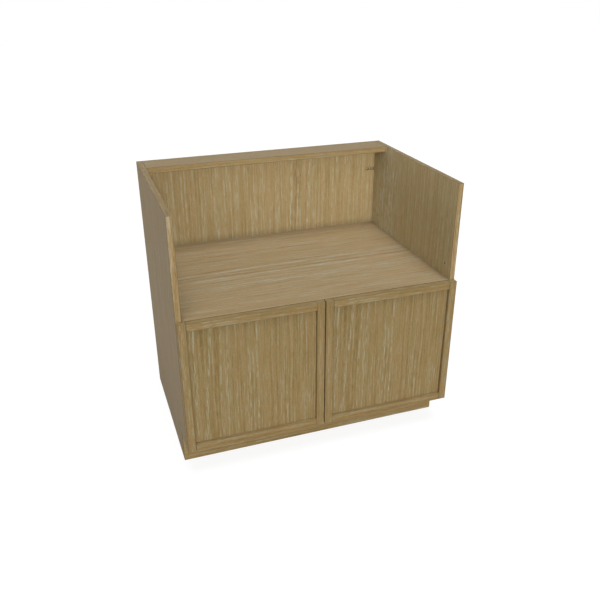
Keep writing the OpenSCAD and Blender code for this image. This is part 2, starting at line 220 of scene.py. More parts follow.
def new_material(name):
    """An empty material, with its node tree and its Principled shader."""
    material = bpy.data.materials.new(name)
    material.use_nodes = True
    return material, material.node_tree, material.node_tree.nodes["Principled BSDF"]


def roughen(tree, shader, field, rough, span=(0.0, 1.0)):
    """Lets a field set the roughness: rough's first number where a span starts, its second where it ends."""
    tree.links.new(ramp(tree, field, *span, *rough), shader.inputs["Roughness"])


def shared(name, make):
    """The material of that name, made once."""
    return bpy.data.materials.get(name) or make()


# Oak.

# What turns the object's axes so that the grain runs along Z.
GRAIN_TURN = {"X": (0, -math.pi / 2, 0), "Y": (math.pi / 2, 0, 0), "Z": (0, 0, 0)}
# Nearly all of a noise lies in this span.
NOISE_SPAN = (0.3, 0.7)
FIGURE_ROUGHNESS = 0.64
# How much of the oak brown latewood and pale lime cover where their masks and the contrast are 1.
LATEWOOD_COVER = 0.80
LIME_COVER = 0.62
# The brown of a scorched drilling's wall, which also inks the painted shade round the back's blind drillings.
DRILLING_BROWN = "57432A"
# How much of the oak the painted ring of shade covers at its darkest.
RIM_SHADE_COVER = 0.62
# A painted ring of shade round a drilling's rim is full this near to its edge, and gone this far from it.
RIM_SHADE_FULL = 0.3 * MM
RIM_SHADE_END = 1.6 * MM
# The open, brushed surface under its thin matt oil gives back much less than a smooth coat would.
OILED_SPECULAR = 0.08
OILED_ROUGH = (0.60, 0.74)
WOOD_IOR = 1.5
# Brushing leaves the soft early wood and the pores a little lower than the rest.
PORE_DEPTH = 3.0
BRUSHED_STRENGTH = 0.35
BRUSHED_DEPTH = 0.15 * MM


def wandering(tree, grain, wave):
    """Coordinates that sway by wave, in mm, over some 400 mm of grain, and by 0.5 mm over some 40 mm."""
    wood = grain
    for across, length, sway in ((0.16, 0.42, wave), (0.014, 0.04, 0.5)):
        scale = (1 / across, 1 / across, 1 / length)
        at = put(tree, "ShaderNodeMapping", {"Vector": grain, "Scale": scale}).outputs[0]
        drift = noise(tree, at, 1.0, 1.0).outputs["Color"]
        centred = vector(tree, "SUBTRACT", drift, (0.5, 0.5, 0.5)).outputs[0]
        pushed = vector(tree, "MULTIPLY", centred, (sway * 2 * MM, sway * 2 * MM, 0)).outputs[0]
        wood = vector(tree, "ADD", wood, pushed).outputs[0]
    return wood


def oak_fields(tree, wood, fleck, fineness):
    """The noises that the figure is cut from.

    They are growth rings in long lines, flecks of lime that break them up, broad bands of heavier and lighter
    figure, pores, which are drawn wide enough to show close up, and patches of heartwood.
    """
    ring = sizes().ring_width / fineness
    pore = sizes().pore_width
    fields = {}
    for key, across, length, detail, shift in (
        ("rings", ring, 0.38, 4.0, 0.0),
        ("flecks", ring * 0.75, fleck * MM, 2.0, 7.3),
        ("bands", 0.05, 0.9, 1.0, 3.7),
        ("pores", pore, 0.011, 1.0, 0.0),
        ("hearts", ring * 0.6, 0.26, 1.0, 11.9),
    ):
        scale = (1 / across, 1 / across, 1 / length)
        place = {"Vector": wood, "Scale": scale, "Location": (shift, shift / 2, shift / 9)}
        at = put(tree, "ShaderNodeMapping", place).outputs[0]
        fields[key] = noise(tree, at, 1.0, detail, FIGURE_ROUGHNESS).outputs["Fac"]
    return fields


def oak_masks(tree, fields):
    """Where each part of the figure lies and how strong it is there, cut out of the noises."""
    masks = {}
    for key, field, low, high, least, most in (
        ("pale", "rings", 0.45, 0.64, 0.0, 1.0),
        ("brown", "rings", 0.52, 0.35, 0.0, 1.0),
        ("fleck", "flecks", 0.42, 0.62, 0.12, 1.35),
        ("dull", "flecks", 0.58, 0.40, 0.25, 1.2),
        ("band", "bands", 0.3, 0.7, 0.6, 1.0),
        ("filled", "pores", 0.58, 0.70, 0.0, 0.34),
        ("open", "pores", 0.42, 0.30, 0.0, 0.30),
        ("heart", "hearts", 0.48, 0.66, 0.0, 0.6),
    ):
        masks[key] = ramp(tree, fields[field], low, high, least, most, interpolation_type="SMOOTHSTEP")
    return masks


def limed_oak(
    name,
    along,
    corner=(0, 0, 0),
    seed=(0, 0, 0),
    gain=(1.0, 1.0, 1.0),
    wave=7.0,
    streaks=(),
    contrast=1.0,
    fleck=38.0,
    joints=(),
    fineness=1.0,
    bores=(),
):
    """Sliced oak veneer, brushed and limed, under a matt oil: tan wood with pale lime flecks and brown lines.

    along is the axis that the grain runs on, and corner and seed say where on the log the board was cut.
    gain brightens red, green and blue, and contrast weighs the brown and pale figure. wave is the grain's
    sway in mm, fleck the usual length of a lime fleck in mm, and fineness narrows the growth rings.
    Each streak is (across axis, place in mm from the corner, half-width in mm, lean, strength); a negative
    strength is brown and a positive one pale. Each of joints is (axis, place in metres,
    reach in mm, strength) and darkens the oak near that place: a narrow one is the dark line of a butt
    joint, and a wide one is painted shade in a corner or towards the bottom. Each bore is (x, z, radius) in
    metres, for a drilling with a painted ring of shade round its rim.
    """
    material, tree, shader = new_material(name)
    turn = Euler(GRAIN_TURN[along])
    cut = Vector(seed) - turn.to_matrix() @ Vector(corner)
    coords = put(tree, "ShaderNodeTexCoord").outputs["Object"]
    place = {"Vector": coords, "Rotation": tuple(turn), "Location": tuple(cut)}
    wood = wandering(tree, put(tree, "ShaderNodeMapping", place).outputs[0], wave)
    fields = oak_fields(tree, wood, fleck, fineness)
    masks = oak_masks(tree, fields)
    split = put(tree, "ShaderNodeSeparateXYZ", {0: wood})
    pale = calc(tree, "MULTIPLY", masks["pale"], masks["band"])
    brown = masks["brown"]
    for axis, at, half, lean, strength in streaks:
        centre = Vector(seed)["XY".index(axis)] + at * MM
        leaning = calc(tree, "MULTIPLY_ADD", split.outputs["Z"], lean, centre - lean * seed[2])
        streak = fade(tree, split.outputs[axis], leaning, half * MM, abs(strength))
        if strength > 0:
            pale = calc(tree, "ADD", pale, streak)
        else:
            brown = calc(tree, "ADD", brown, streak)
    tint = colours()
    colour = rgba(tint.oak, gain)
    for amount, by, share, ink in (
        (masks["heart"], 1.0, 1.0, tint.heart),
        (brown, masks["dull"], LATEWOOD_COVER * contrast, tint.brown),
        (pale, masks["fleck"], LIME_COVER * contrast, tint.lime),
        (masks["filled"], 1.0, 1.0, tint.lime),
        (masks["open"], 1.0, 1.0, tint.brown),
    ):
        broken = calc(tree, "MULTIPLY", amount, by)
        weight = calc(tree, "MULTIPLY", broken, share, use_clamp=True)
        colour = blend(tree, weight, colour, rgba(ink, gain))
    sides = put(tree, "ShaderNodeSeparateXYZ", {0: coords})
    # Dark joint lines where a rail butts a stile, and painted shade in corners and towards the bottom of a
    # side.
    for axis, at, reach, strength in joints:
        darkening = fade(tree, sides.outputs[axis], at, reach * MM, strength)
        colour = blend(tree, darkening, colour, rgba(tint.arris, gain))
    # Painted shade: a dark ring round each drilling's rim.
    for x, z, radius in bores:
        spot = vector(tree, "SUBTRACT", coords, (x, 0.0, z)).outputs[0]
        flat = vector(tree, "MULTIPLY", spot, (1, 0, 1)).outputs[0]
        out = vector(tree, "LENGTH", flat).outputs["Value"]
        rim_shade = fade(tree, out, radius, RIM_SHADE_END, RIM_SHADE_COVER, full=RIM_SHADE_FULL)
        colour = blend(tree, rim_shade, colour, rgba(linear(DRILLING_BROWN)))
    tree.links.new(colour, shader.inputs["Base Color"])
    roughen(tree, shader, fields["rings"], OILED_ROUGH, NOISE_SPAN)
    shader.inputs["Specular IOR Level"].default_value = OILED_SPECULAR
    shader.inputs["IOR"].default_value = WOOD_IOR
    depth = calc(tree, "MULTIPLY_ADD", masks["filled"], PORE_DEPTH, fields["rings"])
    relief = {"Height": depth, "Strength": BRUSHED_STRENGTH, "Distance": BRUSHED_DEPTH}
    bump = put(tree, "ShaderNodeBump", relief, invert=True)
    tree.links.new(bump.outputs[0], shader.inputs["Normal"])
    return material


# Other materials.


def mottled(name, scale, detail, ends, rough, stretch=None):
    """A material whose colour and roughness both follow one noise between two ends. Also gives its shader."""
    material, tree, shader = new_material(name)
    at = put(tree, "ShaderNodeTexCoord").outputs["Object"]
    if stretch:
        at = put(tree, "ShaderNodeMapping", {"Vector": at, "Scale": stretch}).outputs[0]
    field = noise(tree, at, scale, detail).outputs["Fac"]
    tree.links.new(blend(tree, field, *ends), shader.inputs["Base Color"])
    roughen(tree, shader, field, rough)
    return material, shader


def stained_arris(name, gain):
    """The sanded chamfer on oak edges, where the stain sits darker in the cut fibres."""
    ink = colours().arris
    ends = (rgba(ink, 0.8 * gain), rgba(ink, 1.25 * gain))
    material, shader = mottled(name, 90.0, 3.0, ends, (0.55, 0.75))
    shader.inputs["IOR"].default_value = WOOD_IOR
    return material


def scorched_bore():
    """The wall of a drilling, browned by the bit, with marks about a millimetre across."""
    ends = (rgba(linear("2E2212")), rgba(linear(DRILLING_BROWN)))
    return mottled("scorched_oak_bore", 1 / (1.2 * MM), 2.0, ends, (0.6, 0.8))[0]


def turned_beech():
    """Bare beech dowel rod: pale pinkish wood with short brown flecks along the grain."""
    ends = (rgba(linear("B98F66")), rgba(linear("DDBD95")))
    stretch = (1 / 0.004, 1 / 0.0006, 1 / 0.0006)
    return mottled("turned_beech", 1.0, 2.0, ends, (0.6, 0.75), stretch)[0]


def soft_bumper():
    """Moulded clear polyurethane bumper: milky, soft and slightly see-through."""
    ends = (rgba(linear("CFCFC8")), rgba(linear("E2E2DC")))
    material, shader = mottled("moulded_polyurethane", 1 / 0.0015, 2.0, ends, (0.25, 0.4))
    shader.inputs["Transmission Weight"].default_value = 0.3
    shader.inputs["IOR"].default_value = 1.5
    return material


# How wide a patch of tarnish is, in metres, and how deep the metal's unevenness goes with it.
TARNISH_WIDTH = 0.012
TARNISH_DEPTH = 0.02 * MM
TARNISH_STRENGTH = 0.15


def plated_steel(name, code, rough):
    """Steel with an electroplated coat: bright even metal with patches of tarnish a centimetre across."""
    material, tree, shader = new_material(name)
    coords = put(tree, "ShaderNodeTexCoord").outputs["Object"]
    patches = noise(tree, coords, 1 / TARNISH_WIDTH, 2.0).outputs["Fac"]
    roughen(tree, shader, patches, rough, NOISE_SPAN)
    metal = linear(code)
    tone = blend(tree, patches, rgba(metal, 0.9), rgba(metal, 1.06))
    tree.links.new(tone, shader.inputs["Base Color"])
    shader.inputs["Metallic"].default_value = 1.0
    relief = {"Height": patches, "Strength": TARNISH_STRENGTH, "Distance": TARNISH_DEPTH}
    bump = put(tree, "ShaderNodeBump", relief)
    tree.links.new(bump.outputs[0], shader.inputs["Normal"])
    return material


# Meshes.

# Vertices nearer than the first are joined, and faces that turn by fewer degrees than the second are merged.
WELD = 0.002 * MM
MERGE_TURN = 0.5
# In degrees: shading is smooth over edges that turn by up to the first, and those over the second are eased.
SMOOTH_TURN = 32
EASED_TURN = 50
# The shortest edge that is eased on a board and on a pressed part.
BOARD_EDGE = 12 * MM
STEEL_EDGE = 0.4 * MM
# A drilling's rim is eased only where its facets are of this length and turn by more than these degrees. Such
# facets are found on the doors' cup recesses alone, and the cut comes out 0.07 to 0.32 mm wide there.
RIM_FACET = (0.9 * MM, 1.5 * MM)
RIM_TURN = 80
RIM_CHAMFER = 0.7 * MM
# A board's faces larger than this are flat. No face is as large as the second, in square metres, so a part
# that is given it is shaded smooth all over.
FLAT_FACE = 60 * MM * MM
ALL_SMOOTH = 1.0
# A face looks along a direction, or square along an axis, when their cosine is over this.
ALIKE = 0.99
SQUARE = 0.999
# A board's material slots. Its leaves of veneer follow them.
VENEER, BANDING, ARRIS, BORE, LEAVES = range(5)


def linked(name, data):
    """A new object with that data, in the scene."""
    made = bpy.data.objects.new(name, data)
    bpy.context.scene.collection.objects.link(made)
    return made


def as_data(mesh, name):
    """A bmesh as mesh data. The bmesh is freed."""
    data = bpy.data.meshes.new(name)
    mesh.to_mesh(data)
    mesh.free()
    return data


def solid_copy(node):
    """A CAD node's mesh with its triangles joined and its flat faces merged, ready to be finished."""
    mesh = bmesh.new()
    mesh.from_mesh(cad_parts[node].data)
    bmesh.ops.remove_doubles(mesh, verts=mesh.verts, dist=WELD)
    bmesh.ops.dissolve_limit(mesh, angle_limit=math.radians(MERGE_TURN), verts=mesh.verts, edges=mesh.edges)
    return mesh


def finished(mesh, name, materials, body, nodes, flat_above=ALL_SMOOTH):
    """Turns a bmesh into a piece that rides on a body and stands for its CAD nodes.

    Faces larger than flat_above, in square metres, are flat. The rest are smooth up to their sharp edges.
    """
    data = as_data(mesh, name)
    # The imported frame's stored normals no longer fit once faces are merged and edges eased.
    stored = data.attributes.get("custom_normal")
    if stored:
        data.attributes.remove(stored)
    data.set_sharp_from_angle(angle=math.radians(SMOOTH_TURN))
    for polygon in data.polygons:
        polygon.use_smooth = polygon.area < flat_above
    for material in materials:
        data.materials.append(material)
    piece = linked(name, data)
    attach(piece, body)
    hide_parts(*nodes)


def sharp_edges(mesh, shortest, turn):
    """The outward edges of at least that length that turn by more than that many degrees."""
    return [
        edge
        for edge in mesh.edges
        if len(edge.link_faces) == 2
        and edge.is_convex
        and edge.calc_length() >= shortest
        and edge.calc_face_angle(0) > math.radians(turn)
    ]


def ease(mesh, edges, width, segments=1, **look):
    """Cuts edges back by a width, or by as much as the faces beside them leave room for."""
    bmesh.ops.bevel(
        mesh,
        geom=edges,
        offset=width,
        segments=segments,
        profile=0.5,
        affect="EDGES",
        clamp_overlap=True,
        **look,
    )


def board(node, body, grain, veneer, edge_look, leaves=(), arris_gain=1.0):
    """A board with eased edges: veneer on its long faces, edging on its ends and a darker arris.

    leaves are (direction, material) pairs, for the faces that have a leaf of veneer of their own. arris_gain
    lightens the arris as painted light, used on the lock stiles against the shade in the gap between the
    doors.
    """
    mesh = solid_copy(node)
    low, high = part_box(node)
    spans = [high[i] - low[i] for i in range(3)]
    main = "XYZ".index(grain)
    for polygon in mesh.faces:
        normal = [abs(c) for c in polygon.normal]
        polygon.material_index = BANDING if normal.index(max(normal)) == main else VENEER
        for number, (direction, _) in enumerate(leaves):
            if polygon.normal.dot(Vector(direction)) > ALIKE:
                polygon.material_index = LEAVES + number
        # The walls of drillings are scorched by the bit, but for the facets that look straight along an axis.
        if max(normal) < SQUARE:
            polygon.material_index = BORE
    ease(mesh, sharp_edges(mesh, BOARD_EDGE, EASED_TURN), sizes().board_arris, material=ARRIS)
    # The other drillings keep sharp rims, the wide blind ones in the back among them.
    rims = [
        edge
        for edge in sharp_edges(mesh, RIM_FACET[0], RIM_TURN)
        if edge.calc_length() < RIM_FACET[1]
        and {face.material_index == BORE for face in edge.link_faces} == {True, False}
    ]
    ease(mesh, rims, RIM_CHAMFER, material=BORE)
    longest = "XYZ"[max((i for i in range(3) if i != main), key=lambda i: spans[i])]
    banding_name = f"oak_edging_along_{longest.lower()}_{edge_look}"
    banding = shared(
        banding_name,
        lambda: limed_oak(banding_name, longest, seed=(0.7, 1.3, 0.2), gain=EDGE_TONE[edge_look]),
    )
    # A lightened arris is painted light.
    arris_name = "stained_oak_arris" if arris_gain == 1.0 else "painted_light_oak_arris"
    arris = shared(arris_name, lambda: stained_arris(arris_name, arris_gain))
    looks = [veneer, banding, arris, shared("scorched_oak_bore", scorched_bore)]
    looks += [material for _, material in leaves]
    finished(mesh, f"{node}_board", looks, body, [node], flat_above=FLAT_FACE)


def pressed(node, body, material):
    """A pressed or turned metal part with its edges rounded."""
    mesh = solid_copy(node)
    ease(mesh, sharp_edges(mesh, STEEL_EDGE, EASED_TURN), sizes().steel_arris, segments=2)
    finished(mesh, f"{node}_pressed", [material], body, [node])


def solids_of(node):
    """The lowest corner, highest corner and points of each separate solid in a CAD node."""
    mesh = bmesh.new()
    mesh.from_mesh(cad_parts[node].data)
    bmesh.ops.remove_doubles(mesh, verts=mesh.verts, dist=WELD)
    left = set(mesh.verts)
    found = []
    while left:
        heap = [left.pop()]
        island = []
        while heap:
            point = heap.pop()
            island.append(point.co.copy())
            for edge in point.link_edges:
                other = edge.other_vert(point)
                if other in left:
                    left.remove(other)
                    heap.append(other)
        low = Vector(min(p[i] for p in island) for i in range(3))
        high = Vector(max(p[i] for p in island) for i in range(3))
        found.append((low, high, island))
    mesh.free()
    return sorted(found, key=lambda f: tuple(round(c, 5) for c in f[0]))


# Boards.

# Each leaf's tone is what its red, green and blue are multiplied by, so that it matches the photo under this
# scene's lamps. They light the inner faces less than the photo's do, so the inner leaves are well over 1.
DOOR_TONE = (0.865, 0.88, 0.895)
TONE = {
    "side_outer": (0.895, 0.965, 1.285),
    "side_inner": (1.41, 1.59, 1.98),
    "side_edges": (1.09, 1.09, 1.20),
    "back": (1.42, 1.53, 1.80),
    "deck": (1.17, 1.27, 1.66),
    "floor": (1.02, 1.02, 1.05),
    # The rear rail's top leaf is painted darker than its front, against the lamps' sheen on it.
    "rear_rail_top": (0.68, 0.70, 0.71),
    "rear_rail": (1.06, 1.09, 1.16),
    "toe_board": (1.08, 1.085, 1.10),
    "door_rail": (0.856, 0.851, 0.846),
    "hinge_stile": (0.842, 0.830, 0.822),
}
# The carcass edging, whose ends show on the sides' tops, is painted darker against the light from above.
EDGE_TONE = {"carcass": (0.65, 0.64, 0.54), "door": DOOR_TONE}
# How far along the log from its outer leaf a side's inner leaf and its edges are cut.
INNER_CUT = 3.3
EDGE_CUT = 6.1
# The streaks that the photo shows on each leaf, as limed_oak takes them.
# On the right side's inner leaf, a brown streak toward the front edge is painted shade, and a wide pale one
# toward the rear is painted light.
SIDE_LIGHT_AND_SHADE = {
    "left_side": (),
    "right_side": (("Y", 90, 150, 0.0, -0.25), ("Y", 500, 190, 0.0, 0.85)),
}
BACK_FIGURE = (
    ("X", 78, 20, 0.0, -0.3),
    ("X", 530, 30, 0.05, -0.5),
    ("X", 515, 7, 0.05, 0.9),
    ("X", 560, 6, 0.02, 0.8),
    ("X", 590, 7, 0.04, 0.9),
    ("X", 650, 8, -0.03, 0.5),
    ("X", 686, 5, 0.0, -0.8),
)
DECK_FIGURE = (
    ("Y", 300, 9, 0.03, 1.0),
    ("Y", 315, 8, 0.03, -1.3),
    ("Y", 252, 8, 0.01, 0.9),
    ("Y", 265, 7, 0.012, -1.4),
    ("Y", 286, 8, 0.02, -0.7),
    ("Y", 190, 26, 0.0, 0.4),
    ("Y", 400, 10, 0.02, -0.6),
    ("Y", 440, 7, 0.015, -0.7),
)
# Both door panels have the same figure, from each one's left edge on.
PANEL_FIGURE = (
    ("X", 20, 6, 0.02, 0.8),
    ("X", 42, 14, 0.03, -0.45),
    ("X", 47, 6, 0.075, 1.0),
    ("X", 84, 13, 0.02, -0.4),
    ("X", 101, 5, 0.015, 0.9),
    ("X", 122, 6, 0.02, 0.8),
    ("X", 193, 5, 0.02, 0.6),
    ("X", 219, 5, 0.01, 0.6),
)
# How far in mm the dark line reaches where a rail butts against a stile, and how strong it is.
BUTT_REACH = 2.2
BUTT_STRENGTH = 0.75


def veneer_for(node, grain, seed, name=None, **look):
    """Limed oak for a board, its figure placed from the board's lowest corner. look is as in limed_oak."""
    low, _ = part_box(node)
    return limed_oak(name or f"limed_oak_{node}", grain, corner=low, seed=seed, **look)


def blind_bores():
    """The middle and radius of the three blind drillings near each top corner of the back."""
    radius, pitch, drop = 5.5 * MM, 11.5 * MM, 104.3 * MM
    face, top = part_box("right_side")[0][0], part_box("right_side")[1][2]
    across = [face - (place + 0.5) * pitch for place in range(3)]
    return [(hand * x, top - drop, radius) for hand in (-1, 1) for x in across]


def side_board(node, seed, inwards):
    """A side, with a leaf of its own on its outer and on its inner face."""
    outer = veneer_for(
        node,
        "Z",
        seed,
        name=f"limed_oak_{node}_outer",
        gain=TONE["side_outer"],
        contrast=0.65,
        # Painted shade: the outer leaf darkens towards the bottom.
        joints=[("Z", 0.0, 450, 0.18)],
    )
    inner = veneer_for(
        node,
        "Z",
        tuple(c + INNER_CUT for c in seed),
        name=f"limed_oak_{node}_inner",
        gain=TONE["side_inner"],
        # The right side's inner streaks are painted light and shade.
        streaks=SIDE_LIGHT_AND_SHADE[node],
        contrast=0.55,
    )
    edges = veneer_for(node, "Z", tuple(c + EDGE_CUT for c in seed), gain=TONE["side_edges"])
    leaves = [((-inwards, 0, 0), outer), ((inwards, 0, 0), inner)]
    board(node, "carcass", "Z", edges, "carcass", leaves=leaves)


class CABINET_OT_carcass(bpy.types.Operator):
    """Makes the sides, floor, deck, back, rails and toe board"""

    bl_idname = "cabinet.carcass"
    bl_label = "Carcass boards"

    def execute(self, context):
        side_board("left_side", (4.1, 0.0, 0.3), 1)
        side_board("right_side", (9.3, 2.2, 1.1), -1)
        deck_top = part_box("sink_deck")[1][2]
        left_face, right_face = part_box("left_side")[1][0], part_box("right_side")[0][0]
        back_outer = veneer_for("back_panel", "Z", (2.6, 8.0, 0.8), gain=TONE["back"], contrast=0.7)
        back_inner = veneer_for(
            "back_panel",
            "Z",
            (2.6, 5.0, 0.8),
            name="limed_oak_back_panel_inner",
            gain=TONE["back"],
            streaks=BACK_FIGURE,
            contrast=0.7,
            # Painted shade along the corners where the back meets the deck and the sides.
            joints=[
                ("Z", deck_top, 30, 0.36),
                ("Z", deck_top, 170, 0.2),
                ("X", left_face, 20, 0.2),
                ("X", right_face, 20, 0.2),
            ],
            # Painted rings of shade round the blind drillings.
            bores=blind_bores(),
        )
        leaves = [((0, -1, 0), back_inner)]
        board("back_panel", "carcass", "Z", back_outer, "carcass", leaves=leaves)
        deck = veneer_for(
            "sink_deck",
            "X",
            (0.0, 3.0, 6.0),
            gain=TONE["deck"],
            streaks=DECK_FIGURE,
            wave=11.0,
            contrast=0.62,
            fleck=90.0,
            # Painted shade along the corners with the sides.
            joints=[("X", left_face, 14, 0.3), ("X", right_face, 24, 0.38)],
        )
        board("sink_deck", "carcass", "X", deck, "carcass")
        floor = veneer_for("cabinet_floor", "X", (0.0, 7.0, 2.0), gain=TONE["floor"])
        board("cabinet_floor", "carcass", "X", floor, "carcass")
        rail_top = veneer_for(
            "top_rear_rail",
            "X",
            (1.0, 4.5, 8.0),
            name="limed_oak_top_rear_rail_upper",
            gain=TONE["rear_rail_top"],
            contrast=0.15,
        )
        rail = veneer_for("top_rear_rail", "X", (1.0, 1.5, 8.0), gain=TONE["rear_rail"], contrast=0.6)
        board("top_rear_rail", "carcass", "X", rail, "carcass", leaves=[((0, 0, 1), rail_top)])
        toe = veneer_for("toe_board", "X", (2.0, 8.5, 4.0), gain=TONE["toe_board"])
        board("toe_board", "carcass", "X", toe, "carcass")
        for grain, seed, nodes in (
            ("X", (5.0, 6.0, 1.0), ("front_deck_rail", "back_nailer", "toe_backer", "rear_sleeper")),
            ("Y", (8.0, 2.0, 3.0), ("left_deck_cleat", "right_deck_cleat")),
        ):
            framing = limed_oak(f"limed_oak_framing_{grain.lower()}", grain, seed=seed)
            for node in nodes:
                board(node, "carcass", grain, framing, "carcass")
        return {"FINISHED"}


class CABINET_OT_doors(bpy.types.Operator):
    """Makes both doors' stiles, rails and panels"""

    bl_idname = "cabinet.doors"
    bl_label = "Doors"

    def execute(self, context):
        for side in ("left", "right"):
            door = f"{side}_door"
            panel = veneer_for(
                f"{door}_panel",
                "Z",
                (1.2, 0.4, 2.5),
                gain=DOOR_TONE,
                streaks=PANEL_FIGURE,
                contrast=0.85,
                fineness=1.35,
            )
            board(f"{door}_panel", door, "Z", panel, "door")
            # The lock stiles' arris is lightened 1.7 times: painted light against the shade in the gap
            # between the doors.
            for part, place, tone, arris_gain in (
                ("hinge_stile", 3.0, TONE["hinge_stile"], 1.0),
                ("lock_stile", 4.0, DOOR_TONE, 1.7),
            ):
                node = f"{door}_{part}"
                veneer = veneer_for(node, "Z", (place, 2.3, 0.6), gain=tone, contrast=0.8)
                board(node, door, "Z", veneer, "door", arris_gain=arris_gain)
            # A fine dark line shows where each rail butts against its stiles.
            stiles = [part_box(f"{door}_{part}") for part in ("hinge_stile", "lock_stile")]
            first, second = sorted(stiles, key=lambda box: box[0].x)
            butts = [("X", face, BUTT_REACH, BUTT_STRENGTH) for face in (first[1].x, second[0].x)]
            for part, place in (("top_rail", 2.0), ("bottom_rail", 3.0)):
                node = f"{door}_{part}"
                veneer = veneer_for(node, "X", (6.0, place, 0.9), gain=TONE["door_rail"], joints=butts)
                board(node, door, "X", veneer, "door")
        return {"FINISHED"}


class CABINET_OT_hinges(bpy.types.Operator):
    """Makes the concealed hinges: plates, arms, links, cups and pins"""

    bl_idname = "cabinet.hinges"
    bl_label = "Concealed hinges"

    def execute(self, context):
        nickel = plated_steel("nickel_plated_steel", "C9C8C2", (0.22, 0.36))
        zinc = plated_steel("zinc_plated_steel", "A6AAAD", (0.30, 0.48))
        for side in ("left", "right"):
            for part, body, slot, metal in (
                ("plates", "carcass", "nickel_steel", nickel),
                ("arms", "carcass", "nickel_steel", nickel),
                ("links", f"{side}_links", "nickel_steel", nickel),
                ("cups", f"{side}_door", "nickel_steel", nickel),
                ("pins", f"{side}_door", "zinc_steel", zinc),
            ):
                pressed(f"{side}_hinge_{part}", body, metal)
        return {"FINISHED"}


# Screws and bumpers.

# A radius smaller than this, in metres, is a point on the axis.
ON_AXIS = 1e-9
SCREW_STEPS = 28
BUMPER_STEPS = 32
# Outlines from the top, as shares of the radius and of the height: a round screw head's, whose heights count
# down from its top, and a bumper's, whose heights count up from its seat.
HEAD_OUTLINE = ((0.55, 0.08), (0.9, 0.45), (1.0, 0.85), (0.97, 1.0))
BUMPER_OUTLINE = ((0, 1), (0.5, 0.97), (0.8, 0.8), (0.96, 0.4), (1, 0), (0, 0))
# A countersunk head is flat to this share of its radius, and its edge is this thick.
SUNK_FLAT = 0.95
SUNK_EDGE = 0.05 * MM
# The length, width and height of each bar of the cross that is cut, as shares of the head's radius.
RECESS_BAR = (1.15, 0.24, 0.9)
# Points nearer than this to a screw's end tell how wide that end is.
END_SLICE = 0.05 * MM


def circle(radius, height, steps):
    """The places of points round Z."""
    turns = [2 * math.pi * i / steps for i in range(steps)]
    return [(radius * math.cos(turn), radius * math.sin(turn), height) for turn in turns]


def lathe(profile, steps, name):
    """A closed turned mesh round Z from (radius, height) points that start and end on the axis."""
    mesh = bmesh.new()
    rings = []
    for radius, height in profile:
        places = [(0, 0, height)] if radius < ON_AXIS else circle(radius, height, steps)
        rings.append([mesh.verts.new(place) for place in places])
    for a, b in zip(rings, rings[1:]):
        for i in range(steps):
            j = (i + 1) % steps
            corners = [a[i % len(a)], a[j % len(a)], b[j % len(b)], b[i % len(b)]]
            unique = list(dict.fromkeys(corners))
            if len(unique) > 2:
                mesh.faces.new(unique)
    bmesh.ops.recalc_face_normals(mesh, faces=mesh.faces)
    return as_data(mesh, name)


def cross_screw(name, head, shank, length, dome):
    """A wood screw pointing down, with a cross recess in its head, whose top is at the origin.

    head and shank are radii. dome is the height of a round head, and is 0 for a countersunk one.
    """
    if dome:
        outline = [(head * out, -dome * down) for out, down in HEAD_OUTLINE] + [(shank, -dome)]
        tip = 1.5 * MM
    else:
        outline = [(head * SUNK_FLAT, 0), (head, -SUNK_EDGE), (shank, shank - head)]
        tip = 2 * MM
    profile = [(0, 0), *outline, (shank, -length + tip), (0, -length)]
    body = linked(name, lathe(profile, SCREW_STEPS, name))
    mesh = bmesh.new()
    bar = Matrix.Diagonal((*(head * share for share in RECESS_BAR), 1))
    for turn in (0, math.pi / 2):
        bmesh.ops.create_cube(mesh, size=1, matrix=Matrix.Rotation(turn, 4, "Z") @ bar)
    cutter = linked(f"{name}_recess", as_data(mesh, f"{name}_recess"))
    cut = body.modifiers.new("recess", "BOOLEAN")
    cut.object = cutter
    cut.operation = "DIFFERENCE"
    cut.solver = "EXACT"
    cut.use_self = True
    result = bpy.data.meshes.new_from_object(body.evaluated_get(bpy.context.evaluated_depsgraph_get()))
    bpy.data.objects.remove(cutter)
    bpy.data.objects.remove(body)
    template = linked(name, result)
    template.hide_render = True
    return template


